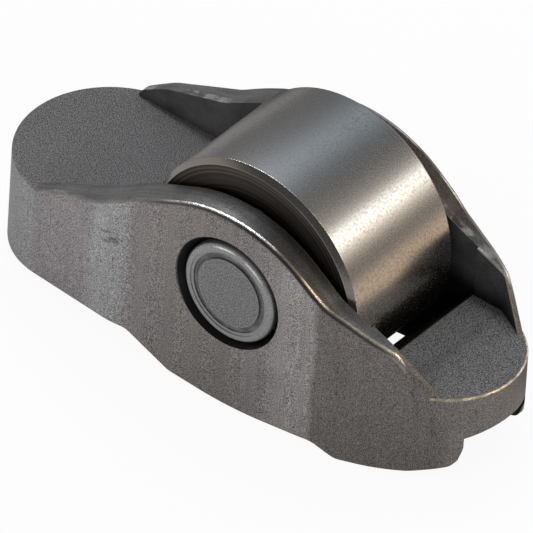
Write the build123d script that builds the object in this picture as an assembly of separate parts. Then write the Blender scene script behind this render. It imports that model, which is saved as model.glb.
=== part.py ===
from build123d import *

import os
from math import acos, asin, atan2, cos, hypot, radians, sin, tan

# Roller finger follower: a cast steel arm that pivots on a ball under its heel, carries a
# needle bearing roller for the cam in its middle, and presses a valve stem with its nose.
# The origin is the centre of the pivot ball. +X runs to the nose, +Y is the far wall, +Z is up.

# Lever: where the roller axis and the middle of the valve pad lie from the pivot
roller_reach = 17.4
roller_rise = 8.2
valve_reach = 31.0

# Roller ring with its end chamfers
roller_diameter = 19.0
roller_width = 11.6
roller_chamfer = 0.42
roller_corner_round = 0.12
ring_bore_chamfer = 0.45

# Full complement of needles between the axle and the ring
axle_diameter = 8.2
needle_diameter = 1.8
needle_count = 17
needle_end_play = 0.3
needle_end_chamfer = 0.15
bearing_play = 0.04

# Axle ends: swaged rim, a shallow ring groove and a flat centre
axle_recess = 0.08
axle_rim_round = 0.3
axle_groove_diameter = 6.5
axle_groove_width = 0.42
axle_groove_depth = 0.12
axle_dish_diameter = 7.1
axle_dish_depth = 0.06

# Relief round each end of the axle bore, into which the axle's ends are swaged
bore_relief = 0.55
bore_relief_depth = 0.95

# Slot between the two walls
side_clearance = 0.35
nose_narrowing = 0.25
fin_tip_thickness = 0.6
pocket_clearance = 0.6
pocket_throat = 14.4
heel_lip_reach = 11.6
nose_lip_reach = 11.3

# Plan outline of the casting: half widths at the named stations
heel_radius = 7.5
shoulder_x = 7.0
shoulder_half_width = 8.85
crease_x = 25.0
crease_half_width = 8.3
cheek_x = 30.6
cheek_half_width = 7.0
nose_radius = 6.1
nose_tip_x = 36.8
shoulder_round = 9.0
cheek_round = 14.0

# Heights of the two pads, from the pivot ball's centre
heel_top = 6.7
nose_top = 5.6

# Walls: both rise from the heel pad to a crest over the roller axis and fall to the nose pad.
# The fins' starts, tip and bend lie from the pivot, the other corners from the roller axis.
near_fin_start_x = -1.7
near_fin_knee = (-12.4, 1.75)
far_fin_start_x = -2.85
far_fin_tip = (-2.5, 7.4)
far_fin_bend = (-0.3, 8.65)
far_fin_knee = (-12.4, 2.1)
fin_shoulder = (-8.9, 4.0)
crest_over_axle = 6.7
crest_behind_axle = 0.45
crest_round = 11.2
fall_knee = (8.6, 2.8)
fall_brow = (13.9, 0.7)
fall_end = 16.5
fin_tip_round = 0.95
knee_round = 4.0
brow_round = 1.6

# Underside: sloping heel, belly below the roller, guide ears either side of the valve stem
heel_floor = -1.0
heel_floor_slope = 0.115
step_x = 8.4
belly_start = (12.4, -1.8)
belly_middle = (17.9, -2.3)
belly_end = (25.2, -1.5)
ear_start = (27.1, -2.35)
ear_chin = (32.4, -1.65)
ear_heel = (35.1, -0.75)
ear_front = (35.85, 1.5)
step_round = 1.6
belly_round = 30.0
ear_round = 2.4
ear_corner_round = 0.9

# Ball socket in the heel
ball_radius = 4.75
socket_lead = 0.5

# Valve pad: a cylinder face between the ears
stem_slot_width = 7.1
pad_radius = 14.0
pad_height = 1.05

# Rounding of the casting's edges
wall_edge_round = 0.55
pad_edge_round = 0.2
floor_edge_round = 0.4

# Cutters and trimmed bodies: how long they are, and how far they run past what trims them
reach_over = 60.0
overrun = 1.0

# Sizes that follow
roller_radius = roller_diameter / 2
axle_radius = axle_diameter / 2
needle_length = roller_width - 2 * needle_end_play
ring_bore_radius = axle_radius + needle_diameter + bearing_play
needle_pitch_radius = axle_radius + (needle_diameter + bearing_play) / 2
slot_half = roller_width / 2 + side_clearance
pocket_radius = roller_radius + pocket_clearance
roller_axis = Location((roller_reach, 0, roller_rise))
lying_along_y = Rot(90, 0, 0)


def tangent_point(circle_x, radius, outside, forward):
    """Point where a line from outside touches a circle centred on the X axis."""
    dx = outside[0] - circle_x
    turn = acos(radius / hypot(dx, outside[1]))
    heading = atan2(outside[1], dx) + (turn if forward else -turn)
    return (circle_x + radius * cos(heading), radius * sin(heading))


def half_width_at(x):
    """Half width of the casting beside the axle, between the shoulder and the crease."""
    share = (x - shoulder_x) / (crease_x - shoulder_x)
    return shoulder_half_width + share * (crease_half_width - shoulder_half_width)


def plan_outline():
    """Plan view of the casting: round heel, two facetted flanks, round nose."""
    nose_x = nose_tip_x - nose_radius
    heel_touch = tangent_point(0, heel_radius, (shoulder_x, shoulder_half_width), True)
    nose_touch = tangent_point(nose_x, nose_radius, (cheek_x, cheek_half_width), False)
    flank = FilletPolyline(
        heel_touch,
        (shoulder_x, shoulder_half_width),
        (crease_x, crease_half_width),
        (cheek_x, cheek_half_width),
        nose_touch,
        radius=[shoulder_round, shoulder_round, cheek_round],
    )
    heel = ThreePointArc(heel_touch, (-heel_radius, 0), (heel_touch[0], -heel_touch[1]))
    nose = ThreePointArc(nose_touch, (nose_tip_x, 0), (nose_touch[0], -nose_touch[1]))
    return make_face([flank, mirror(flank, Plane.XZ), heel, nose])


def heel_floor_at(x):
    return heel_floor + heel_floor_slope * x


def floor_outline(back_x, front_x):
    """Side view of the underside: sloping heel, step, belly below the roller and guide ears."""
    belly_rounds = [step_round, step_round, belly_round, step_round, step_round]
    ear_rounds = [ear_round, ear_corner_round, ear_corner_round]
    return FilletPolyline(
        (back_x, heel_floor_at(back_x)),
        (step_x, heel_floor_at(step_x)),
        belly_start,
        belly_middle,
        belly_end,
        ear_start,
        ear_chin,
        ear_heel,
        ear_front,
        (front_x, ear_front[1]),
        radius=belly_rounds + ear_rounds,
    )


def from_axle(corner):
    """Place of a wall's corner that is given from the roller axis."""
    return (roller_reach + corner[0], roller_rise + corner[1])


def base_outline():
    """Side view of the casting without its walls: two pads with a lower floor between them."""
    back_x = -heel_radius - overrun
    front_x = nose_tip_x + overrun
    low = (nose_top + heel_floor) / 2
    heel_end_x = (near_fin_start_x + shoulder_x) / 2
    top = Polyline(
        (back_x, heel_floor_at(back_x)),
        (back_x, heel_top),
        (heel_end_x, heel_top),
        (shoulder_x, low),
        (roller_reach + pocket_throat / 2, low),
        (roller_reach + fall_knee[0], nose_top),
        (front_x, nose_top),
        (front_x, ear_front[1]),
    )
    return make_face([top, floor_outline(back_x, front_x)])


def wall_outline(fin_start_x, *fin_corners):
    """Side view of one wall down to its root: its fin on the heel pad with the given corners,
    the crest over the roller axis and the fall to the nose pad."""
    root = (nose_top + heel_floor) / 2
    rise = (fin_corners[0][1] - heel_top) / (fin_corners[0][0] - fin_start_x)
    fall = (from_axle(fall_brow)[1] - nose_top) / (fall_end - fall_brow[0])
    back = (fin_start_x - (heel_top - root) / rise, root)
    front = (roller_reach + fall_end + (nose_top - root) / fall, root)
    blunt = len(fin_corners) > 1
    fin_rounds = [fin_tip_round, knee_round, knee_round] if blunt else [knee_round]
    top = FilletPolyline(
        back,
        *fin_corners,
        from_axle(fin_shoulder),
        from_axle(crest_corner()),
        from_axle(fall_knee),
        from_axle(fall_brow),
        front,
        radius=fin_rounds + [knee_round, crest_round, knee_round, brow_round],
    )
    return make_face([top, Line(back, front)])


def crest_slope(knee):
    """Slope of the line from a knee that just touches the crest's arc."""
    run = abs(knee[0] + crest_behind_axle)
    climb = crest_over_axle - crest_round - knee[1]
    return tan(atan2(climb, run) + asin(crest_round / hypot(run, climb)))


def crest_corner():
    """Corner where the crest's two slopes meet, from the roller axis. The crest's arc rounds it."""
    rise = crest_slope(fin_shoulder)
    fall = crest_slope(fall_knee)
    x = (fall_knee[1] - fin_shoulder[1] + rise * fin_shoulder[0] + fall * fall_knee[0]) / (rise + fall)
    return (x, fin_shoulder[1] + rise * (x - fin_shoulder[0]))


def pocket_outline():
    """Side view of the pocket, from the roller axis: a scoop with bevelled lips above it
    and an open throat below."""
    heel_drop = heel_top - roller_rise
    nose_drop = nose_top - roller_rise
    bevel = 0.42 * pocket_radius
    lips = Polyline(
        (-heel_lip_reach, pocket_radius),
        (-heel_lip_reach, heel_drop),
        (-heel_lip_reach + bevel, heel_drop - bevel),
        (nose_lip_reach - bevel, nose_drop - bevel),
        (nose_lip_reach, nose_drop),
        (nose_lip_reach, pocket_radius),
        close=True,
    )
    throat = Pos(0, -pocket_radius) * Rectangle(pocket_throat, 2 * pocket_radius)
    return Circle(pocket_radius) + make_face(lips) + throat


def along_y(sketch, half_length):
    """Body with the given side view, as long on either side of the middle."""
    return extrude(Plane.XZ * sketch, half_length, both=True)


def pad_cutter():
    """Clears the space above both pads, between the fins."""
    heel_run = roller_reach + heel_radius + overrun
    heel_side = Pos(roller_reach - heel_run, heel_top) * Rectangle(
        heel_run, reach_over, align=(Align.MIN, Align.MIN)
    )
    nose_side = Pos(roller_reach, nose_top) * Rectangle(
        reach_over, reach_over, align=(Align.MIN, Align.MIN)
    )
    within = extrude(offset(plan_outline(), -fin_tip_thickness), reach_over / 2, both=True)
    nose = along_y(nose_side, slot_half - nose_narrowing) & within
    return along_y(heel_side, slot_half) + nose


def socket_cutter():
    """Ball socket with a conical lead at its mouth."""
    mouth_z = heel_floor - socket_lead
    mouth_radius = (ball_radius**2 - mouth_z**2) ** 0.5
    lead = Cone(mouth_radius + 2.2 * socket_lead, mouth_radius - socket_lead, 3 * socket_lead)
    throat = Cylinder(mouth_radius, ball_radius, align=(Align.CENTER, Align.CENTER, Align.MAX))
    return Sphere(ball_radius) + Pos(0, 0, mouth_z) * lead + Pos(0, 0, mouth_z) * throat


def stem_slot_cutter():
    """Slot between the guide ears, up to the rounded valve pad."""
    below = Pos(valve_reach, pad_height) * Rectangle(
        valve_reach, reach_over, align=(Align.CENTER, Align.MAX)
    )
    face = Pos(valve_reach, pad_height + pad_radius) * Circle(pad_radius)
    front = Pos(valve_reach, pad_height) * Rectangle(
        valve_reach, pad_radius, align=(Align.CENTER, Align.MIN)
    )
    slot_side = below + (front - face)
    keep_above = Pos(valve_reach, pad_height + pad_radius / 2) * Rectangle(
        valve_reach, reach_over, align=(Align.CENTER, Align.MIN)
    )
    return along_y(slot_side - keep_above, stem_slot_width / 2)


def bore_cutter():
    """Through bore for the axle, with a steep relief where it opens on each flank."""
    flank = half_width_at(roller_reach)
    bore = lying_along_y * Cylinder(axle_radius, reach_over)
    mouths = [
        Pos(0, side * (flank + bore_relief_depth), 0) * Rot(90 * side, 0, 0) * Cone(
            axle_radius + 2 * bore_relief,
            axle_radius,
            2 * bore_relief_depth,
            align=(Align.CENTER, Align.CENTER, Align.MIN),
        )
        for side in (1, -1)
    ]
    return roller_axis * (bore + mouths)


def edges_along(body, pick):
    """Edges that run along the casting, of those whose middle the test picks."""
    found = []
    for edge in body.edges():
        heading = edge.tangent_at(0.5)
        straight_across = abs(heading.Y) > 0.999
        upright = hypot(heading.X, heading.Y) < 0.3
        if pick(edge.center()) and not straight_across and not upright:
            found.append(edge)
    return found


def on_pad(spot):
    return any(abs(spot.Z - level) < 0.01 for level in (heel_top, nose_top))


def base():
    """Casting without its walls, its pads' rims and its lower edges rounded."""
    block = along_y(base_outline(), reach_over / 2) & extrude(plan_outline(), reach_over / 2, both=True)
    block = fillet(edges_along(block, on_pad), pad_edge_round)
    return fillet(edges_along(block, lambda spot: spot.Z < pad_height), floor_edge_round)


def wall(outline, side):
    """One wall as half a hump across the casting, its outer top edge rounded."""
    hump = extrude(Plane.XZ * outline, -side * reach_over / 2)
    hump = hump & extrude(plan_outline(), reach_over / 2, both=True)
    above = hump.bounding_box().min.Z + wall_edge_round
    crest = edges_along(hump, lambda spot: spot.Z > above and side * spot.Y > slot_half / 2)
    return fillet(crest, wall_edge_round)


def rocker_body():
    near_wall = wall(wall_outline(near_fin_start_x, from_axle(near_fin_knee)), -1)
    far_wall = wall(wall_outline(far_fin_start_x, far_fin_tip, far_fin_bend, from_axle(far_fin_knee)), 1)
    body = base() + near_wall + far_wall
    body = body - pad_cutter() - roller_axis * along_y(pocket_outline(), slot_half)
    return body - socket_cutter() - stem_slot_cutter() - bore_cutter()


def ring_section():
    """Half section of the roller ring, its bore edges chamfered."""
    half = roller_width / 2
    corner = roller_radius - roller_chamfer
    section = Polyline(
        (ring_bore_radius, -half + ring_bore_chamfer),
        (ring_bore_radius + ring_bore_chamfer, -half),
        (corner, -half),
        (roller_radius, -half + roller_chamfer),
        (roller_radius, half - roller_chamfer),
        (corner, half),
        (ring_bore_radius + ring_bore_chamfer, half),
        (ring_bore_radius, half - ring_bore_chamfer),
        close=True,
    )
    face = make_face(section)
    middle_radius = (ring_bore_radius + roller_radius) / 2
    rims = [spot for spot in face.vertices() if spot.X > middle_radius]
    return fillet(rims, roller_corner_round)


def roller_ring():
    ring = revolve(Plane.XZ * ring_section(), Axis.Z)
    return roller_axis * lying_along_y * ring


def axle_section():
    """Half section of the axle: flat centre, shallow dish, groove and swaged rim at each end."""
    end = half_width_at(roller_reach) - axle_recess
    flat_radius = axle_groove_diameter / 2 - axle_groove_width
    from_axis = (Align.MIN, Align.CENTER)
    rod = Rectangle(axle_radius, 2 * end, align=from_axis)
    rims = [spot for spot in rod.vertices() if spot.X > axle_radius / 2]
    rod = fillet(rims, axle_rim_round)
    dish = Rectangle(axle_dish_diameter / 2, 2 * axle_dish_depth, align=from_axis)
    flat = Rectangle(flat_radius, 2 * axle_dish_depth, align=from_axis)
    groove = Rectangle(axle_groove_width, 2 * axle_groove_depth, align=from_axis)
    hollow = dish - flat + Pos(flat_radius, 0) * groove
    return rod - Pos(0, end) * hollow - Pos(0, -end) * hollow


def axle():
    return roller_axis * lying_along_y * revolve(Plane.XZ * axle_section(), Axis.Z)


def needle(turn):
    """One needle roller, turned round the axle from the top."""
    roll = Cylinder(needle_diameter / 2, needle_length)
    roll = chamfer(roll.edges(), needle_end_chamfer)
    place = Pos(needle_pitch_radius * sin(radians(turn)), 0, needle_pitch_radius * cos(radians(turn)))
    return roller_axis * place * lying_along_y * roll


def export(name, solid):
    export_step(solid, f"parts/{name}.step")


def main():
    os.makedirs("parts", exist_ok=True)
    export("rocker_body", rocker_body())
    export("axle", axle())
    export("roller_ring", roller_ring())
    for index in range(needle_count):
        export(f"needle_{index + 1:02d}", needle(index * 360 / needle_count))


main()
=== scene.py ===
import bmesh
import bpy
from math import radians
from mathutils import Matrix, Vector


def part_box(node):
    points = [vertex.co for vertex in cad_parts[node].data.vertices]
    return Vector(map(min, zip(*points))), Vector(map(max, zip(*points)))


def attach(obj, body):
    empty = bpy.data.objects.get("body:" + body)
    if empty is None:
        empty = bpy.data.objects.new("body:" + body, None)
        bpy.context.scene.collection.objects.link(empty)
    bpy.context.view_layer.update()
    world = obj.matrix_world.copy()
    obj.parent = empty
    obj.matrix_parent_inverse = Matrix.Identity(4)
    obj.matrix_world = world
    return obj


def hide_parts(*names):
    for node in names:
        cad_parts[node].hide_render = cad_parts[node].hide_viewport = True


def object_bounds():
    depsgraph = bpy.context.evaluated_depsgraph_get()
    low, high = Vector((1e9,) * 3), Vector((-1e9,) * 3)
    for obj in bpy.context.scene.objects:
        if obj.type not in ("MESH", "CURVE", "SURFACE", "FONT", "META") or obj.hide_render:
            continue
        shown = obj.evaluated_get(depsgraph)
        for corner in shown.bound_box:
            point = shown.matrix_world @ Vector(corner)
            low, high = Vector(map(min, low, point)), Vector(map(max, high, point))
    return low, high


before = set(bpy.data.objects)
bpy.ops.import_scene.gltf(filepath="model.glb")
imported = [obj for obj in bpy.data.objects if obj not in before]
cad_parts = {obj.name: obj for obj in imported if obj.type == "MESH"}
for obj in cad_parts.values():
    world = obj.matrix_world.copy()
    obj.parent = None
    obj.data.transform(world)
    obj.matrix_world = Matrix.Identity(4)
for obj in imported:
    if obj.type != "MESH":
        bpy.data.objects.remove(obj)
cadLow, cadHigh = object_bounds()
print("frame loaded:", len(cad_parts), "nodes")

bpy.ops.object.select_all(action="DESELECT")

# Places on the arm, read from the frame's own boxes
ringLow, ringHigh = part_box("roller_ring")
rollerCentre = (ringLow + ringHigh) / 2
rollerRadius = (ringHigh.z - ringLow.z) / 2
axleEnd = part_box("axle")[1].y
mm = 0.001

# Camera: a long lens, placed as the photo saw the arm
shot = {
    "right": Vector((0.7752, 0.6299, 0.0492)),
    "up": Vector((-0.4306, 0.4705, 0.7705)),
    "aimRight": -0.2713,  # from the roller's centre, in roller radii
    "aimUp": -0.2148,
    "distance": 1.5,
    "lens": 1404.8,
    "sensor": 36.0,
    "clipStart": 0.05,
    "clipEnd": 8.0,
}


def addCamera():
    back = shot["right"].cross(shot["up"]).normalized()
    up = back.cross(shot["right"]).normalized()
    right = up.cross(back).normalized()
    aim = rollerCentre + right * shot["aimRight"] * rollerRadius + up * shot["aimUp"] * rollerRadius
    bpy.ops.object.camera_add(location=aim + back * shot["distance"])
    camera = bpy.context.object
    camera.name = "shotCamera"
    camera.rotation_mode = "QUATERNION"
    camera.rotation_quaternion = Matrix((right, up, back)).transposed().to_quaternion()
    camera.data.lens = shot["lens"]
    camera.data.sensor_width = shot["sensor"]
    camera.data.clip_start = shot["clipStart"]
    camera.data.clip_end = shot["clipEnd"]
    bpy.context.scene.camera = camera


def softenInnerEdges(piece, soft):
    # Rounds the upper edges of the two walls where they face the roller, and less towards both ends
    mesh = bmesh.new()
    mesh.from_mesh(piece.data)
    share = mesh.edges.layers.float.new("bevel_weight_edge")
    picked = 0
    sharpFrom = radians(soft["sharpAngle"])
    for line in mesh.edges:
        ends = [vertex.co for vertex in line.verts]
        onInnerWall = all(abs(abs(spot.y) - soft["innerWall"]) < soft["slack"] for spot in ends)
        clear = all(spot.z > soft["lowest"] and spot.x < soft["last"] for spot in ends)
        if onInnerWall and clear and line.is_manifold and line.calc_face_angle() > sharpFrom:
            middle = (ends[0].x + ends[1].x) / 2
            rise = (middle - soft["first"]) / soft["startRun"]
            fall = (soft["last"] - middle) / soft["endRun"]
            line[share] = max(soft["leastShare"], min(1.0, rise, fall))
            picked += 1
    mesh.to_mesh(piece.data)
    mesh.free()
    rounding = piece.modifiers.new("softEdges", "BEVEL")
    rounding.limit_method = "WEIGHT"
    rounding.width = soft["width"]
    rounding.segments = soft["segments"]
    bpy.ops.object.modifier_apply(modifier=rounding.name)
    print("inner edges rounded:", picked)


# Finished copies of the CAD nodes: one skin instead of loose triangles, with broken edges
def finishedCopy(node, body, edge, soft=None):
    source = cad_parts[node]
    piece = source.copy()
    piece.data = source.data.copy()
    piece.name = node + "Finished"
    piece.parent = None
    piece.matrix_world = Matrix.Identity(4)
    bpy.context.collection.objects.link(piece)
    bpy.ops.object.select_all(action="DESELECT")
    piece.select_set(True)
    bpy.context.view_layer.objects.active = piece
    bpy.ops.object.mode_set(mode="EDIT")
    bpy.ops.mesh.select_all(action="SELECT")
    bpy.ops.mesh.customdata_custom_splitnormals_clear()
    bpy.ops.mesh.remove_doubles(threshold=edge["weld"])
    bpy.ops.mesh.dissolve_limited(angle_limit=radians(edge["flatAngle"]), delimit={"NORMAL"})
    bpy.ops.object.mode_set(mode="OBJECT")
    if soft:
        softenInnerEdges(piece, soft)
    if edge["width"]:
        bevel = piece.modifiers.new("brokenEdges", "BEVEL")
        bevel.limit_method = "ANGLE"
        bevel.angle_limit = radians(edge["sharpAngle"])
        bevel.width = edge["width"]
        bevel.segments = edge["segments"]
        bpy.ops.object.modifier_apply(modifier=bevel.name)
    bpy.ops.object.shade_smooth_by_angle(angle=radians(edge["smoothAngle"]))
    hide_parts(node)
    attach(piece, body)
    print(piece.name, "faces", len(piece.data.polygons))
    return piece


# Material helpers: every pattern reads Object coordinates, in metres, and the tone tables below
# give a place in millimetres or degrees and the tone there
def newMaterial(name):
    material = bpy.data.materials.new(name)
    material.use_nodes = True
    tree = material.node_tree
    return material, tree, tree.nodes["Principled BSDF"]


def coordinates(tree):
    return tree.nodes.new("ShaderNodeTexCoord").outputs


def feed(tree, socket, value):
    if isinstance(value, bpy.types.NodeSocket):
        tree.links.new(value, socket)
    elif hasattr(socket.default_value, "__len__") and len(socket.default_value) == 4:
        socket.default_value = (*value, 1.0)
    else:
        socket.default_value = value


def sums(tree, operation, first, second=0.0, third=0.0):
    # One step of arithmetic on sockets or plain numbers
    node = tree.nodes.new("ShaderNodeMath")
    node.operation = operation
    for socket, value in zip(node.inputs, (first, second, third)):
        feed(tree, socket, value)
    return node.outputs["Value"]


def product(tree, *factors):
    result = factors[0]
    for factor in factors[1:]:
        result = sums(tree, "MULTIPLY", result, factor)
    return result


def largest(tree, *values):
    result = values[0]
    for value in values[1:]:
        result = sums(tree, "MAXIMUM", result, value)
    return result


def inverse(tree, share):
    return sums(tree, "SUBTRACT", 1.0, share)


def size(tree, value):
    # The value without its sign
    return sums(tree, "ABSOLUTE", value)


def stretched(tree, place, scale):
    mapping = tree.nodes.new("ShaderNodeMapping")
    mapping.inputs["Scale"].default_value = scale
    tree.links.new(place, mapping.inputs["Vector"])
    return mapping.outputs["Vector"]


def noise(tree, place, name):
    scale, detail, roughness = noises[name]
    grain = tree.nodes.new("ShaderNodeTexNoise")
    grain.inputs["Scale"].default_value = scale
    grain.inputs["Detail"].default_value = detail
    grain.inputs["Roughness"].default_value = roughness
    tree.links.new(place, grain.inputs["Vector"])
    return grain.outputs["Fac"]


def ramp(tree, value, low, high, bottom=0.0, top=1.0):
    step = tree.nodes.new("ShaderNodeMapRange")
    step.interpolation_type = "SMOOTHSTEP"
    step.inputs["From Min"].default_value = low
    step.inputs["From Max"].default_value = high
    step.inputs["To Min"].default_value = bottom
    step.inputs["To Max"].default_value = top
    tree.links.new(value, step.inputs["Value"])
    return step.outputs["Result"]


def band(tree, value, start, end, soft):
    rise = ramp(tree, value, start - soft, start + soft)
    fall = ramp(tree, value, end - soft, end + soft, 1.0, 0.0)
    return product(tree, rise, fall)


def mask(tree, value, name):
    # The share that the named span gives a value
    return ramp(tree, value, *spans[name])


def within(tree, value, name):
    # The share that the named band gives a value
    return band(tree, value, *bands[name])


def mixColours(tree, share, first, second):
    mix = tree.nodes.new("ShaderNodeMix")
    mix.data_type = "RGBA"
    feed(tree, mix.inputs[0], share)
    feed(tree, mix.inputs[6], first)
    feed(tree, mix.inputs[7], second)
    return mix.outputs[2]


def blended(tree, share, first, second):
    mix = tree.nodes.new("ShaderNodeMix")
    feed(tree, mix.inputs[0], share)
    feed(tree, mix.inputs[2], first)
    feed(tree, mix.inputs[3], second)
    return mix.outputs[0]


def shaded(tree, colour, value, depth):
    # Darkens and lightens a colour by how far a noise is from its middle
    swing = product(tree, sums(tree, "SUBTRACT", value, noiseMiddle), depth)
    swing = sums(tree, "MULTIPLY_ADD", swing, 2.0, 1.0)
    scale = tree.nodes.new("ShaderNodeVectorMath")
    scale.operation = "SCALE"
    feed(tree, scale.inputs["Scale"], swing)
    tree.links.new(colour, scale.inputs[0])
    return scale.outputs[0]


def bump(tree, shader, height, distance):
    node = tree.nodes.new("ShaderNodeBump")
    node.inputs["Distance"].default_value = distance
    tree.links.new(height, node.inputs["Height"])
    tree.links.new(node.outputs["Normal"], shader.inputs["Normal"])


def parts(tree, vector):
    split = tree.nodes.new("ShaderNodeSeparateXYZ")
    tree.links.new(vector, split.inputs[0])
    return split.outputs


def fromAxis(tree, spot, shift=0.0):
    # Distance from the axle's axis, or from a line shifted ahead of it
    across = sums(tree, "SUBTRACT", spot["X"], rollerCentre.x + shift)
    rise = sums(tree, "SUBTRACT", spot["Z"], rollerCentre.z)
    squares = sums(tree, "ADD", product(tree, across, across), product(tree, rise, rise))
    return sums(tree, "SQRT", squares)


# Places on the casting that its finish follows
padTop = 7.0 * mm
noseTop = 5.6 * mm
innerWall = 6.3 * mm
reliefRim = 4.79 * mm

# Scale per metre, detail and roughness of each noise, which all average the same middle value
noiseMiddle = 0.5
noises = {
    "fine": (13000.0, 1.0, 0.5),
    "speck": (5200.0, 1.0, 0.5),
    "cloud": (420.0, 4.0, 0.6),
    "patches": (900.0, 3.0, 0.6),
    "streaks": (2200.0, 3.0, 0.65),
    "drawn": (2600.0, 3.0, 0.6),
    "ringFine": (5200.0, 3.0, 0.6),
    "ringDrawn": (320.0, 3.0, 0.7),
    "ringTurned": (3200.0, 2.0, 0.6),
    "axleCloud": (700.0, 3.0, 0.6),
    "axleTurned": (3600.0, 2.0, 0.6),
    "needleFine": (4200.0, 3.0, 0.55),
}
stretches = {
    "upFlank": (1.0, 1.0, 0.05),
    "alongCrown": (0.06, 1.0, 0.06),
    "roundRing": (1.0, 22.0, 1.0),
}

# Where each mask starts and ends, then its shares there unless they are 0 and 1
spans = {
    "padLevel": (0.93, 0.985),
    "padLow": (padTop, padTop + 0.15 * mm, 1.0, 0.0),
    "onWall": (innerWall - 0.3 * mm, innerWall),
    "faceUp": (0.08, 0.2),
    "crownSlope": (0.74, 0.88, 1.0, 0.0),
    "towardGap": (innerWall, innerWall + 0.7 * mm, 1.0, 0.0),
    "farSide": (0.0, 1.0 * mm),
    "nearSide": (-1.0 * mm, 0.0, 1.0, 0.0),
    "stainPatches": (0.35, 0.6, 0.35, 0.95),
    "faceInward": (-2.5 * mm, 0.0, 1.0, 0.0),
    "noseInward": (-1.0 * mm, 0.0, 1.0, 0.0),
    "faceOutward": (0.0, 1.0 * mm),
    "noseWeb": (28.0 * mm, 29.5 * mm),
    "pocketSlope": (0.3, 0.7, 1.0, 0.0),
    "pocketLight": (noseTop, padTop + 0.6 * mm),
    "reliefEdge": (reliefRim - 0.05 * mm, reliefRim + 0.05 * mm, 1.0, 0.0),
    "reliefSlope": (0.9, 0.985, 1.0, 0.0),
    "grain": (0.3, 0.7),
    "speck": (0.42, 0.58, 0.2, 1.0),
    "markPatches": (0.35, 0.55, 0.5, 1.0),
    "clearOfAxle": (5.2 * mm, 5.6 * mm),
    "linePatches": (0.3, 0.5, 0.45, 1.0),
    "lineSolid": (2.0 * mm, 3.0 * mm),
    "aheadOfRoller": (20.5 * mm, 22.5 * mm),
    "goldSide": (-1.0 * mm, 1.0 * mm, 1.0, 0.15),
    "farHighlightUp": (0.2, 0.4),
    "farHighlightHeight": (padTop, padTop + 0.2 * mm),
    "farHighlightPatches": (0.42, 0.66),
    "rimReach": (27.0 * mm, 29.0 * mm),
    "rimPatches": (0.38, 0.62, 0.3, 1.0),
    "roughGrain": (0.2, 0.8, -0.05, 0.05),
    "ringWorn": (0.42, 0.72),
    "ringEnd": (0.8, 0.95),
    "ringTurned": (0.4, 0.6),
    "ringRough": (0.3, 0.75, 0.23, 0.33),
    "axleCentre": (2.7 * mm, 2.8 * mm, 1.0, 0.0),
    "groovePatches": (0.3, 0.6, 0.5, 1.0),
    "arcLight": (2.9 * mm, 3.6 * mm),
    "arcPatches": (0.3, 0.6),
    "needleWorn": (0.3, 0.75),
}

# Start, end and softness of each band
bands = {
    "stain": (17.0 * mm, 28.0 * mm, 2.0 * mm),
    "pocket": (4.6 * mm, 30.4 * mm, 0.2 * mm),
    "lineSlope": (0.16, 0.44, 0.06),
    "underSlope": (0.56, 0.78, 0.07),
    "under": (10.5 * mm, 31.0 * mm, 1.5 * mm),
    "farHighlightWidth": (innerWall - 0.3 * mm, innerWall + 0.45 * mm, 0.15 * mm),
    "rimSlope": (0.25, 0.93, 0.08),
    "rimHeight": (noseTop - 0.22 * mm, noseTop - 0.02 * mm, 0.03 * mm),
    "ringChamfer": (0.45, 0.85, 0.1),
    "axleGroove": (2.8 * mm, 3.3 * mm, 0.06 * mm),
    "axleArc": (3.74 * mm, 3.88 * mm, 0.05 * mm),
}

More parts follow.
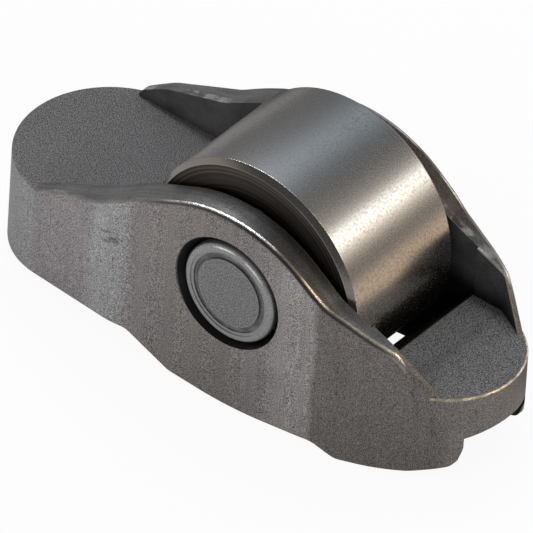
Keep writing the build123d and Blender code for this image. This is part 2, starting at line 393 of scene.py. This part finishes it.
casting = {
    # Tone of the flanks along the arm, with painted light in the lighter bands where the flank turns
    # towards the lamps and painted shade in the darker run towards the nose
    "flankTonesAndShade": [  # along the arm, mm from the pivot
        (-7.0, (0.19, 0.19, 0.192)),
        (-2.0, (0.29, 0.29, 0.292)),
        (-0.8, (0.262, 0.244, 0.248)),
        (4.0, (0.285, 0.266, 0.270)),
        (5.4, (0.360, 0.360, 0.360)),
        (7.6, (0.330, 0.328, 0.328)),
        (9.0, (0.248, 0.228, 0.222)),
        (17.0, (0.215, 0.198, 0.188)),
        (20.8, (0.245, 0.226, 0.222)),
        (22.2, (0.300, 0.280, 0.272)),
        (24.9, (0.310, 0.290, 0.284)),
        (25.5, (0.168, 0.153, 0.142)),
        (31.0, (0.160, 0.146, 0.136)),
        (33.8, (0.150, 0.137, 0.128)),
        (35.0, (0.185, 0.170, 0.159)),
        (37.0, (0.195, 0.179, 0.168)),
    ],
    "padTone": (0.172, 0.171, 0.172),
    "crownTones": [  # the walls' tops, mm from the pivot
        (-3.0, (0.270, 0.262, 0.262)),
        (2.0, (0.240, 0.234, 0.234)),
        (8.0, (0.190, 0.186, 0.186)),
        (17.0, (0.215, 0.212, 0.212)),
        (20.0, (0.085, 0.079, 0.077)),
        (24.0, (0.080, 0.073, 0.070)),
        (26.5, (0.125, 0.120, 0.116)),
        (30.0, (0.215, 0.213, 0.212)),
        (31.2, (0.420, 0.405, 0.395)),
    ],
    "innerCrownShade": 0.35,
    "stain": (0.075, 0.058, 0.048),
    # Colours of the painted highlights along the edges
    "highlightTone": (0.92, 0.91, 0.89),
    "goldHighlightTone": (0.95, 0.82, 0.60),
    "pocketTone": (0.125, 0.123, 0.125),
    "pocketShadeTone": (0.014, 0.014, 0.015),
    "reliefShadeTone": (0.010, 0.010, 0.011),
    "gapShadeTone": (0.02, 0.019, 0.018),
    "markTone": (0.03, 0.028, 0.027),
    "darkLineTone": (0.035, 0.033, 0.032),
    "darkLineShare": 0.75,
    "metallic": 0.7,
    "roughness": 0.52,
    "crownRoughness": 0.36,
    "padRoughness": 0.6,
    "highlightRoughness": 0.22,
    "wander": 1.2 * mm,
    "streakShade": 0.22,
    "flankCloud": 0.16,
    "crownCloud": 0.5,
    "pocketCloud": 0.8,
    "drawnShade": 0.6,
    "grainShade": 0.62,
    "padGrain": 1.0,
    "crownCover": 0.35,
    "pocketCover": 0.5,
    "cloudHeight": 1.5,
    "markHeight": 1.5,
    "grainDepth": 0.00003,
    "markReach": 9.0 * mm,
    "markCore": 0.45,
    "reliefShift": 0.11 * mm,
    # Painted highlight along the walls' outer edges
    "crownHighlightLines": [  # how bright the line along a wall's outer edge is, mm from the pivot
        (-3.0, 0.0),
        (0.0, 0.0),
        (0.5, 0.6),
        (1.3, 0.6),
        (1.9, 0.0),
        (10.6, 0.0),
        (12.2, 0.8),
        (14.0, 1.0),
        (20.3, 1.0),
        (21.6, 0.1),
        (23.4, 0.15),
        (24.0, 0.85),
        (25.3, 0.8),
        (26.0, 0.2),
        (30.4, 0.25),
        (31.2, 1.0),
        (37.0, 1.0),
    ],
    "farEdgeHighlightStrength": [  # how strong the painted highlight on the far wall's inner edge is
        (-3.0, 0.9),
        (-1.8, 0.7),
        (-1.0, 0.1),
        (1.2, 0.1),
        (2.2, 0.95),
        (4.6, 0.75),
        (5.6, 0.1),
        (24.0, 0.1),
        (26.0, 0.45),
        (28.5, 0.9),
        (30.0, 0.35),
        (34.0, 0.5),
    ],
    "marks": [  # x, z, turn in degrees, length, width in mm, depth of shade
        (6.9, 7.5, -28.0, 1.5, 0.3, 0.75),
        (6.2, 7.9, -20.0, 0.8, 0.22, 0.6),
        (7.1, 5.4, 85.0, 1.0, 0.13, 0.6),
        (18.9, 10.9, 62.0, 0.7, 0.07, 0.6),
        (19.6, 10.3, 66.0, 0.9, 0.08, 0.6),
        (20.4, 9.7, 58.0, 0.7, 0.07, 0.55),
        (21.2, 9.0, 64.0, 0.9, 0.08, 0.6),
        (22.0, 8.2, 60.0, 0.8, 0.07, 0.55),
        (22.9, 7.5, 66.0, 0.6, 0.07, 0.5),
        (31.3, 4.2, -55.0, 1.1, 0.12, 0.7),
        (24.4, 2.4, 80.0, 0.9, 0.06, 0.4),
        (32.6, 5.6, 65.0, 1.3, 0.12, 0.6),
        (33.9, 2.7, 88.0, 2.2, 0.07, 0.5),
        (35.0, 4.4, 88.0, 0.9, 0.09, 0.7),
        (36.1, 4.1, 80.0, 0.8, 0.10, 0.7),
        (34.2, 2.2, 75.0, 0.8, 0.07, 0.6),
        (35.1, 3.0, 82.0, 0.6, 0.06, 0.6),
        (3.0, 2.4, 85.0, 1.2, 0.06, 0.3),
        (-2.1, 3.4, 88.0, 3.0, 0.07, 0.45),
        (6.8, 2.2, 88.0, 1.6, 0.06, 0.45),
    ],
}


def tonesAlong(tree, value, tones, unit):
    # A colour that follows a value through the given stops; a new ladder comes with two of them
    ladder = tree.nodes.new("ShaderNodeValToRGB")
    stops = ladder.color_ramp.elements
    first, last = tones[0][0], tones[-1][0]
    for index, (reach, tone) in enumerate(tones):
        share = (reach - first) / (last - first)
        stop = stops[index] if index < 2 else stops.new(share)
        stop.position = share
        stop.color = (*tone, 1.0) if hasattr(tone, "__len__") else (tone, tone, tone, 1.0)
    along = ramp(tree, value, first * unit, last * unit)
    along.node.interpolation_type = "LINEAR"
    tree.links.new(along, ladder.inputs["Fac"])
    return ladder.outputs["Color"]


def markShade(tree, place):
    # Short dents and scratches on the near flank, as one share from 0 to 1
    shade = 0.0
    for x, z, turn, length, width, depth in casting["marks"]:
        frameOfMark = tree.nodes.new("ShaderNodeMapping")
        frameOfMark.vector_type = "TEXTURE"
        frameOfMark.inputs["Location"].default_value = (x * mm, -axleEnd, z * mm)
        frameOfMark.inputs["Rotation"].default_value = (0.0, radians(turn), 0.0)
        frameOfMark.inputs["Scale"].default_value = (length * mm, casting["markReach"], width * mm)
        tree.links.new(place, frameOfMark.inputs["Vector"])
        reach = tree.nodes.new("ShaderNodeVectorMath")
        reach.operation = "LENGTH"
        tree.links.new(frameOfMark.outputs["Vector"], reach.inputs[0])
        spot = ramp(tree, reach.outputs["Value"], casting["markCore"], 1.0, depth, 0.0)
        shade = sums(tree, "MAXIMUM", shade, spot)
    return shade


def castPatterns(tree):
    # Places, slopes, noises and masks that several parts of the casting's finish share
    place = coordinates(tree)
    flat = place["Object"]
    spot = parts(tree, flat)
    facing = parts(tree, place["Normal"])
    halfWidth = size(tree, spot["Y"])
    return {
        "flat": flat,
        "x": spot["X"],
        "y": spot["Y"],
        "z": spot["Z"],
        "up": facing["Z"],
        "sideways": size(tree, facing["Y"]),
        "halfWidth": halfWidth,
        "outside": product(tree, spot["Y"], facing["Y"]),
        "reach": fromAxis(tree, spot, casting["reliefShift"]),
        "fine": noise(tree, flat, "fine"),
        "cloud": noise(tree, flat, "cloud"),
        "patches": noise(tree, flat, "patches"),
        "speck": mask(tree, noise(tree, flat, "speck"), "speck"),
        "onWall": mask(tree, halfWidth, "onWall"),
        "faceUp": mask(tree, facing["Z"], "faceUp"),
    }


def flankColour(tree, cast):
    # Bands across the outer flanks, partly the steel's own tone and partly painted light and shade, which
    # streaks break up
    wander = product(tree, sums(tree, "SUBTRACT", cast["cloud"], noiseMiddle), casting["wander"])
    colour = tonesAlong(tree, sums(tree, "ADD", cast["x"], wander), casting["flankTonesAndShade"], mm)
    streaks = noise(tree, stretched(tree, cast["flat"], stretches["upFlank"]), "streaks")
    colour = shaded(tree, colour, streaks, casting["streakShade"])
    return shaded(tree, colour, cast["cloud"], casting["flankCloud"])


def crownColour(tree, cast):
    # The walls' crowned tops, with painted shade darker towards the gap and a stain on the far wall
    colour = tonesAlong(tree, cast["x"], casting["crownTones"], mm)
    # Painted shade where the tops fall towards the gap beside the roller
    shade = product(tree, mask(tree, cast["halfWidth"], "towardGap"), casting["innerCrownShade"])
    colour = mixColours(tree, shade, colour, casting["gapShadeTone"])
    stained = product(tree, mask(tree, cast["y"], "farSide"), within(tree, cast["x"], "stain"),
                      mask(tree, cast["patches"], "stainPatches"))
    colour = mixColours(tree, stained, colour, casting["stain"])
    drawn = noise(tree, stretched(tree, cast["flat"], stretches["alongCrown"]), "drawn")
    colour = shaded(tree, colour, drawn, casting["drawnShade"])
    return shaded(tree, colour, cast["cloud"], casting["crownCloud"])


def pocketColour(tree, cast):
    # The pocket's inner faces, with painted shade that goes near black low in the pocket and lighter up
    # towards the walls' tops
    light = mask(tree, cast["z"], "pocketLight")
    colour = mixColours(tree, light, casting["pocketShadeTone"], casting["pocketTone"])
    return shaded(tree, colour, cast["cloud"], casting["pocketCloud"])


def crestHighlight(tree, cast, edge):
    # A painted highlight line along a wall's outer edge, broken into specks over the pivot
    line = product(tree, tonesAlong(tree, cast["x"], casting["crownHighlightLines"], mm),
                   mask(tree, cast["patches"], "linePatches"))
    line = product(tree, line, blended(tree, mask(tree, cast["x"], "lineSolid"), cast["speck"], 1.0))
    return product(tree, edge, line, within(tree, cast["sideways"], "lineSlope"))


def farEdgeHighlight(tree, cast):
    # A painted highlight along the far wall's inner edge, in patches
    return product(tree, within(tree, cast["halfWidth"], "farHighlightWidth"), mask(tree, cast["up"], "farHighlightUp"),
                   mask(tree, cast["z"], "farHighlightHeight"), mask(tree, cast["y"], "farSide"),
                   tonesAlong(tree, cast["x"], casting["farEdgeHighlightStrength"], mm),
                   mask(tree, cast["patches"], "farHighlightPatches"))


def noseRimHighlight(tree, cast):
    # A painted highlight along the nose pad's rim, just below the pad
    return product(tree, within(tree, cast["up"], "rimSlope"), mask(tree, cast["x"], "rimReach"),
                   within(tree, cast["z"], "rimHeight"), mask(tree, cast["patches"], "rimPatches"))


def castMaterial():
    material, tree, shader = newMaterial("blastedCastSteel")
    cast = castPatterns(tree)

    # Which part of the casting is where
    pad = product(tree, mask(tree, cast["up"], "padLevel"), mask(tree, cast["z"], "padLow"))
    crown = product(tree, mask(tree, cast["sideways"], "crownSlope"), cast["onWall"], cast["faceUp"],
                    inverse(tree, pad))
    nearNose = product(tree, mask(tree, cast["x"], "noseWeb"), mask(tree, cast["y"], "nearSide"))
    inward = product(tree, mask(tree, cast["outside"], "faceInward"), inverse(tree, nearNose))
    pocket = product(tree, inverse(tree, cast["onWall"]), mask(tree, cast["sideways"], "pocketSlope"),
                     within(tree, cast["x"], "pocket"))
    pocket = largest(tree, pocket, inward)
    pad = largest(tree, pad, product(tree, nearNose, mask(tree, cast["outside"], "noseInward")))
    # Painted shade: the bore's mouth round the axle is near black, on a circle shifted towards the nose
    relief = product(tree, mask(tree, cast["reach"], "reliefEdge"),
                     mask(tree, cast["sideways"], "reliefSlope"))

    colour = mixColours(tree, crown, flankColour(tree, cast), crownColour(tree, cast))
    colour = mixColours(tree, pocket, colour, pocketColour(tree, cast))
    colour = mixColours(tree, pad, colour, casting["padTone"])
    colour = mixColours(tree, relief, colour, casting["reliefShadeTone"])

    # Blasted grain, less of it on the crowns and in the pocket, then the marks
    covered = largest(tree, product(tree, crown, casting["crownCover"]),
                      product(tree, pocket, casting["pocketCover"]))
    bare = largest(tree, inverse(tree, covered), pad)
    grain = blended(tree, bare, noiseMiddle, mask(tree, cast["fine"], "grain"))
    colour = shaded(tree, colour, grain, blended(tree, pad, casting["grainShade"], casting["padGrain"]))
    marks = product(tree, markShade(tree, cast["flat"]), cast["speck"],
                    mask(tree, cast["patches"], "markPatches"))
    colour = mixColours(tree, marks, colour, casting["markTone"])

    # A painted dark reflection as a line under the walls' outer edges, then painted highlights on the edges
    # over all of it
    edge = product(tree, cast["onWall"], cast["faceUp"], mask(tree, cast["reach"], "clearOfAxle"),
                   mask(tree, cast["outside"], "faceOutward"))
    under = product(tree, edge, within(tree, cast["sideways"], "underSlope"),
                    within(tree, cast["x"], "under"), casting["darkLineShare"])
    colour = mixColours(tree, under, colour, casting["darkLineTone"])
    # Painted highlights along the edges, gold ahead of the roller on the near side
    ahead = product(tree, mask(tree, cast["x"], "aheadOfRoller"), mask(tree, cast["y"], "goldSide"))
    highlightColour = mixColours(tree, ahead, casting["highlightTone"], casting["goldHighlightTone"])
    highlights = largest(tree, crestHighlight(tree, cast, edge), noseRimHighlight(tree, cast), farEdgeHighlight(tree, cast))
    tree.links.new(mixColours(tree, highlights, colour, highlightColour), shader.inputs["Base Color"])
    tree.links.new(blended(tree, highlights, casting["metallic"], 1.0), shader.inputs["Metallic"])

    rough = blended(tree, crown, casting["roughness"], casting["crownRoughness"])
    rough = blended(tree, pad, rough, casting["padRoughness"])
    rough = blended(tree, highlights, rough, casting["highlightRoughness"])
    rough = sums(tree, "ADD", rough, mask(tree, cast["fine"], "roughGrain"))
    tree.links.new(rough, shader.inputs["Roughness"])
    height = sums(tree, "ADD", product(tree, cast["fine"], bare),
                  product(tree, cast["cloud"], casting["cloudHeight"]))
    height = sums(tree, "SUBTRACT", height, product(tree, marks, casting["markHeight"]))
    bump(tree, shader, height, casting["grainDepth"])
    return material


ring = {
    "tone": (0.56, 0.55, 0.54),
    "wornTone": (0.40, 0.385, 0.37),
    "endFaceToneAndShade": (0.115, 0.099, 0.088),
    "faceLine": (0.055, 0.048, 0.044),
    "chamferDarkReflectionTone": (0.24, 0.225, 0.21),
    "faceRoughness": 0.4,
    "drawnShade": 0.06,
    "drawnHeight": 0.6,
    "grainDepth": 0.000004,
}


def turnedLines(tree, spot, name):
    # A noise that changes with the distance from the axle's axis alone
    line = tree.nodes.new("ShaderNodeCombineXYZ")
    tree.links.new(fromAxis(tree, spot), line.inputs[0])
    return noise(tree, line.outputs[0], name)


def ringMaterial():
    material, tree, shader = newMaterial("groundBearingSteel")
    place = coordinates(tree)
    flat = place["Object"]
    spot = parts(tree, flat)
    sideways = size(tree, parts(tree, place["Normal"])["Y"])
    fine = noise(tree, flat, "ringFine")
    drawn = noise(tree, stretched(tree, flat, stretches["roundRing"]), "ringDrawn")
    colour = mixColours(tree, mask(tree, fine, "ringWorn"), ring["tone"], ring["wornTone"])
    colour = shaded(tree, colour, drawn, ring["drawnShade"])
    # Painted dark reflection on the chamfers
    colour = mixColours(tree, within(tree, sideways, "ringChamfer"), colour, ring["chamferDarkReflectionTone"])
    # The end faces: their own brownish tone with turned lines, made darker as painted shade
    turned = mask(tree, turnedLines(tree, spot, "ringTurned"), "ringTurned")
    face = mixColours(tree, turned, ring["endFaceToneAndShade"], ring["faceLine"])
    end = mask(tree, sideways, "ringEnd")
    tree.links.new(mixColours(tree, end, colour, face), shader.inputs["Base Color"])
    shader.inputs["Metallic"].default_value = 1.0
    rough = blended(tree, end, mask(tree, fine, "ringRough"), ring["faceRoughness"])
    tree.links.new(rough, shader.inputs["Roughness"])
    height = sums(tree, "ADD", fine, product(tree, drawn, ring["drawnHeight"]))
    bump(tree, shader, height, ring["grainDepth"])
    return material


axleFinish = {
    "centreTone": (0.205, 0.205, 0.205),
    "rimTone": (0.27, 0.27, 0.27),
    "grooveTone": (0.095, 0.096, 0.097),
    "arcHighlightTone": (0.75, 0.76, 0.77),
    "arcLean": 0.2,
    "metallic": 0.75,
    "rimRoughness": 0.34,
    "centreRoughness": 0.5,
    "rimTurning": 0.35,
    "centreTurning": 0.08,
    "rimGrain": 0.35,
    "centreGrain": 0.65,
    "turnedHeight": 0.5,
    "grainDepth": 0.000015,
}


def axleMaterial():
    material, tree, shader = newMaterial("turnedAxleSteel")
    flat = coordinates(tree)["Object"]
    spot = parts(tree, flat)
    fine = noise(tree, flat, "fine")
    cloud = noise(tree, flat, "axleCloud")
    turned = turnedLines(tree, spot, "axleTurned")
    reach = fromAxis(tree, spot)
    centre = mask(tree, reach, "axleCentre")
    colour = mixColours(tree, centre, axleFinish["rimTone"], axleFinish["centreTone"])
    groove = product(tree, within(tree, reach, "axleGroove"), mask(tree, cloud, "groovePatches"))
    colour = mixColours(tree, groove, colour, axleFinish["grooveTone"])

    # A painted highlight: a bright arc on the rim's upper side
    lean = product(tree, sums(tree, "SUBTRACT", spot["X"], rollerCentre.x), axleFinish["arcLean"])
    height = sums(tree, "ADD", lean, sums(tree, "SUBTRACT", spot["Z"], rollerCentre.z))
    arc = product(tree, mask(tree, height, "arcLight"), within(tree, reach, "axleArc"),
                  mask(tree, cloud, "arcPatches"))
    colour = mixColours(tree, arc, colour, axleFinish["arcHighlightTone"])

    turning = blended(tree, centre, axleFinish["rimTurning"], axleFinish["centreTurning"])
    colour = shaded(tree, colour, turned, turning)
    grain = blended(tree, centre, axleFinish["rimGrain"], axleFinish["centreGrain"])
    colour = shaded(tree, colour, mask(tree, fine, "grain"), grain)
    tree.links.new(colour, shader.inputs["Base Color"])
    shader.inputs["Metallic"].default_value = axleFinish["metallic"]
    rough = blended(tree, centre, axleFinish["rimRoughness"], axleFinish["centreRoughness"])
    tree.links.new(rough, shader.inputs["Roughness"])
    relief = sums(tree, "ADD", fine, product(tree, turned, axleFinish["turnedHeight"]))
    bump(tree, shader, relief, axleFinish["grainDepth"])
    return material


needleFinish = {
    "tone": (0.62, 0.61, 0.6),
    "wornTone": (0.4, 0.39, 0.38),
    "roughness": 0.2,
    "grainDepth": 0.000004,
}


def needleMaterial():
    material, tree, shader = newMaterial("polishedNeedleSteel")
    fine = noise(tree, coordinates(tree)["Object"], "needleFine")
    worn = mask(tree, fine, "needleWorn")
    colour = mixColours(tree, worn, needleFinish["tone"], needleFinish["wornTone"])
    tree.links.new(colour, shader.inputs["Base Color"])
    shader.inputs["Metallic"].default_value = 1.0
    shader.inputs["Roughness"].default_value = needleFinish["roughness"]
    bump(tree, shader, fine, needleFinish["grainDepth"])
    return material


def dress(piece, material):
    piece.data.materials.clear()
    piece.data.materials.append(material)


# Studio: pale floor, white surroundings, and a grey tent that the metal mirrors in bands
studio = {
    "floorSize": 2.4,
    "floorTone": (0.85, 0.85, 0.85),
    "floorRoughness": 0.9,
    "floorGlow": 0.93,
    "ambient": 0.55,
    "ambientTone": (0.97, 0.98, 1.0),
    "white": (1.0, 1.0, 1.0),
    "lampDistance": 0.4,  # metres, as are the sizes here
    "fillSize": 0.2,
    "stripWidth": 0.03,
    "groundTone": (0.32, 0.315, 0.315),
    "bronzeTone": (0.84, 0.63, 0.45),
    "darkTone": (0.004, 0.004, 0.004),
    "awayDirection": (0.78, 0.62),
    "bronzeBand": (0.025, 0.16, 0.012),
    "darkBand": (-0.01, 0.025, 0.006),
    "cardLift": 0.1 * mm,
    "tentSides": 96,
    "tentRadius": 0.5,
    "tentLength": 3.0,
    "tentStrength": 3.2,
    "tentSplit": (-0.05, 0.05, 1.0, 0.0),
    "heelBlend": (radians(135.0), radians(165.0)),
    "tentFront": (0.05, 0.05, 0.05),
    "tentFrontHeel": (0.26, 0.245, 0.23),
    "tentBands": [  # angle up from the nose, degrees, and tone before the strength
        (-60.0, (0.02, 0.02, 0.02)),
        (-26.0, (0.17, 0.137, 0.105)),
        (-12.0, (0.15, 0.126, 0.102)),
        (0.0, (0.055, 0.049, 0.046)),
        (12.0, (0.055, 0.049, 0.043)),
        (23.0, (0.27, 0.215, 0.165)),
        (32.0, (1.0, 0.95, 0.86)),
        (38.0, (1.0, 0.98, 0.92)),
        (44.5, (0.13, 0.115, 0.095)),
        (57.0, (0.085, 0.08, 0.076)),
        (72.0, (0.050, 0.051, 0.053)),
        (88.0, (0.052, 0.056, 0.060)),
        (100.0, (0.095, 0.109, 0.122)),
        (114.0, (0.128, 0.147, 0.166)),
        (128.0, (0.080, 0.088, 0.098)),
        (142.0, (0.055, 0.055, 0.057)),
        (180.0, (0.055, 0.055, 0.055)),
        (230.0, (0.05, 0.05, 0.05)),
    ],
}


fills = {  # direction from the roller, power in watts and colour
    "topSoftbox": ((-0.25, 0.35, 0.9), 0.45, (0.97, 0.98, 1.0)),
    "frontFill": ((-0.3, -0.8, 0.5), 0.42, (1.0, 0.98, 0.96)),
    "noseFill": ((0.85, -0.45, 0.25), 0.32, (1.0, 0.97, 0.94)),
    "backFill": ((0.1, 0.95, 0.3), 0.2, (1.0, 1.0, 1.0)),
}
strips = {  # the two directions that each one spans, power in watts and colour
    "crestStrip": ((-0.83, 0.25, 0.49), (0.12, 0.10, 1.0), 0.5, (1.0, 1.0, 1.0)),
    "warmStrip": ((0.35, 0.08, 0.92), (0.93, 0.06, 0.36), 0.2, (1.0, 0.82, 0.6)),
}


def anyOf(tree, *rays):
    path = tree.nodes.new("ShaderNodeLightPath")
    return largest(tree, *(path.outputs[ray] for ray in rays))


def blendedShader(tree, share, first, second, output):
    mix = tree.nodes.new("ShaderNodeMixShader")
    tree.links.new(share, mix.inputs[0])
    tree.links.new(first.outputs[0], mix.inputs[1])
    tree.links.new(second.outputs[0], mix.inputs[2])
    tree.links.new(mix.outputs[0], output.inputs["Surface"])


def glowing(material, tree, colour, strength):
    # Gives the material a glow that the renderer doesn't sample as a lamp
    glow = tree.nodes.new("ShaderNodeEmission")
    glow.inputs["Strength"].default_value = strength
    tree.links.new(colour, glow.inputs["Color"])
    tree.links.new(glow.outputs[0], tree.nodes["Material Output"].inputs["Surface"])
    material.cycles.emission_sampling = "NONE"
    return material


def onlyMirrored(piece):
    # Leaves a stage piece to reflections alone
    piece.visible_camera = False
    piece.visible_diffuse = False
    piece.visible_shadow = False


def addWorld():
    world = bpy.data.worlds.new("studioAir")
    bpy.context.scene.world = world
    world.use_nodes = True
    tree = world.node_tree
    tree.nodes.clear()
    output = tree.nodes.new("ShaderNodeOutputWorld")
    soft = tree.nodes.new("ShaderNodeBackground")
    feed(tree, soft.inputs["Color"], studio["ambientTone"])
    soft.inputs["Strength"].default_value = studio["ambient"]
    white = tree.nodes.new("ShaderNodeBackground")
    feed(tree, white.inputs["Color"], studio["white"])
    seen = anyOf(tree, "Is Camera Ray", "Is Glossy Ray", "Is Transmission Ray")
    blendedShader(tree, seen, soft, white, output)


def addFloor():
    bpy.ops.mesh.primitive_plane_add(size=studio["floorSize"], location=(rollerCentre.x, 0, cadLow.z))
    floor = bpy.context.object
    floor.name = "studioFloor"
    material, tree, shader = newMaterial("paleFloor")
    feed(tree, shader.inputs["Base Color"], studio["floorTone"])
    shader.inputs["Roughness"].default_value = studio["floorRoughness"]
    glow = tree.nodes.new("ShaderNodeEmission")
    share = product(tree, anyOf(tree, "Is Camera Ray"), studio["floorGlow"])
    blendedShader(tree, share, shader, glow, tree.nodes["Material Output"])
    floor.data.materials.append(material)


def tentMaterial():
    # Glowing bands round the roller's axis, and plain glowing tones beyond its near end
    material, tree = newMaterial("greyTentGlow")[:2]
    spot = parts(tree, coordinates(tree)["Object"])
    angle = sums(tree, "ARCTAN2", spot["Y"], spot["X"])
    last = studio["tentBands"][-1][0]
    wrapped = sums(tree, "WRAP", angle, radians(last), radians(last - 360.0))
    tones = tonesAlong(tree, wrapped, studio["tentBands"], radians(1.0))
    heel = ramp(tree, wrapped, *studio["heelBlend"])
    front = mixColours(tree, heel, studio["tentFront"], studio["tentFrontHeel"])
    colour = mixColours(tree, ramp(tree, spot["Z"], *studio["tentSplit"]), front, tones)
    return glowing(material, tree, colour, studio["tentStrength"])


def addTent():
    bpy.ops.mesh.primitive_cylinder_add(vertices=studio["tentSides"], radius=studio["tentRadius"],
                                        depth=studio["tentLength"], end_fill_type="NOTHING",
                                        location=rollerCentre, rotation=(radians(90.0), 0, 0))
    tent = bpy.context.object
    tent.name = "greyTent"
    tent.data.materials.append(tentMaterial())
    onlyMirrored(tent)


def groundMaterial():
    # A glowing grey ground with a dark and a bronze band, which run across the view behind the roller
    material, tree = newMaterial("darkGroundGlow")[:2]
    spot = parts(tree, coordinates(tree)["Object"])
    ahead = sums(tree, "SUBTRACT", spot["X"], rollerCentre.x)
    along, across = studio["awayDirection"]
    away = sums(tree, "ADD", product(tree, ahead, along), product(tree, spot["Y"], across))
    bronze = band(tree, away, *studio["bronzeBand"])
    colour = mixColours(tree, bronze, studio["groundTone"], studio["bronzeTone"])
    colour = mixColours(tree, band(tree, away, *studio["darkBand"]), colour, studio["darkTone"])
    return glowing(material, tree, colour, 1.0)


def addGroundCard():
    # Lies on the floor behind the arm, and only reflections see it
    depth = studio["floorSize"] / 2
    middle = (rollerCentre.x, axleEnd + depth / 2, cadLow.z + studio["cardLift"])
    bpy.ops.mesh.primitive_plane_add(size=1.0, location=middle)
    card = bpy.context.object
    card.name = "groundCard"
    card.scale = (studio["floorSize"], depth, 1.0)
    bpy.ops.object.transform_apply(location=True, scale=True)
    card.data.materials.append(groundMaterial())
    onlyMirrored(card)


def addAreaLamp(name, place, width, height, power, colour):
    bpy.ops.object.light_add(type="AREA", location=place)
    lamp = bpy.context.object
    lamp.name = name
    lamp.data.shape = "RECTANGLE"
    lamp.data.size = width
    lamp.data.size_y = height
    lamp.data.energy = power
    lamp.data.color = colour
    lamp.rotation_mode = "QUATERNION"
    return lamp


def addStrip(name, start, end, power, colour):
    # A long narrow lamp across the arc between two directions, which only reflections see
    first, last = Vector(start).normalized(), Vector(end).normalized()
    back = (first + last).normalized()
    lengthwise = (last - first).normalized()
    across = back.cross(lengthwise).normalized()
    distance = studio["lampDistance"]
    length = (last - first).length * distance
    lamp = addAreaLamp(name, rollerCentre + back * distance, length, studio["stripWidth"], power, colour)
    lamp.visible_diffuse = False
    lamp.rotation_quaternion = Matrix((lengthwise, across, back)).transposed().to_quaternion()


def addFill(name, direction, power, colour):
    # A square lamp that lights the surfaces and isn't mirrored in them
    place = rollerCentre + Vector(direction).normalized() * studio["lampDistance"]
    lamp = addAreaLamp(name, place, studio["fillSize"], studio["fillSize"], power, colour)
    lamp.visible_glossy = False
    lamp.rotation_quaternion = (rollerCentre - place).to_track_quat("-Z", "Y")


addCamera()
print("camera placed")

# How the copies' points are welded, flat faces joined and sharp edges broken, in metres and degrees
edges = {
    "weld": 0.000001,
    "flatAngle": 0.4,
    "sharpAngle": 40.0,
    "smoothAngle": 35.0,
    "segments": 2,
    "width": 0.00008,
}

# Which inner edges of the walls are rounded, how far, and over which runs that grows and fades
softEdges = {
    "width": 0.7 * mm,
    "segments": 5,
    "leastShare": 0.1,
    "innerWall": 6.15 * mm,
    "slack": 0.02 * mm,
    "lowest": 7.1 * mm,
    "first": -2.6 * mm,
    "startRun": 4.0 * mm,
    "last": 27.6 * mm,
    "endRun": 6.5 * mm,
    "sharpAngle": 40.0,
}

body = finishedCopy("rocker_body", "arm", edges, softEdges)
dress(body, castMaterial())
ringEdges = {**edges, "width": 0.0, "smoothAngle": 25.0}
roller = finishedCopy("roller_ring", "roller", ringEdges)
dress(roller, ringMaterial())
axleEdges = {**edges, "width": 0.0, "smoothAngle": 30.0}
axle = finishedCopy("axle", "arm", axleEdges)
dress(axle, axleMaterial())
needleSteel = needleMaterial()
for name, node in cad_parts.items():
    if name.startswith("needle"):
        dress(node, needleSteel)
print("finishes applied")

addWorld()
addFloor()
addTent()
addGroundCard()
for name, (direction, power, colour) in fills.items():
    addFill(name, direction, power, colour)
for name, (start, end, power, colour) in strips.items():
    addStrip(name, start, end, power, colour)
print("studio lit")

scene = bpy.context.scene
scene.view_settings.view_transform = "Standard"
bpy.context.view_layer.update()
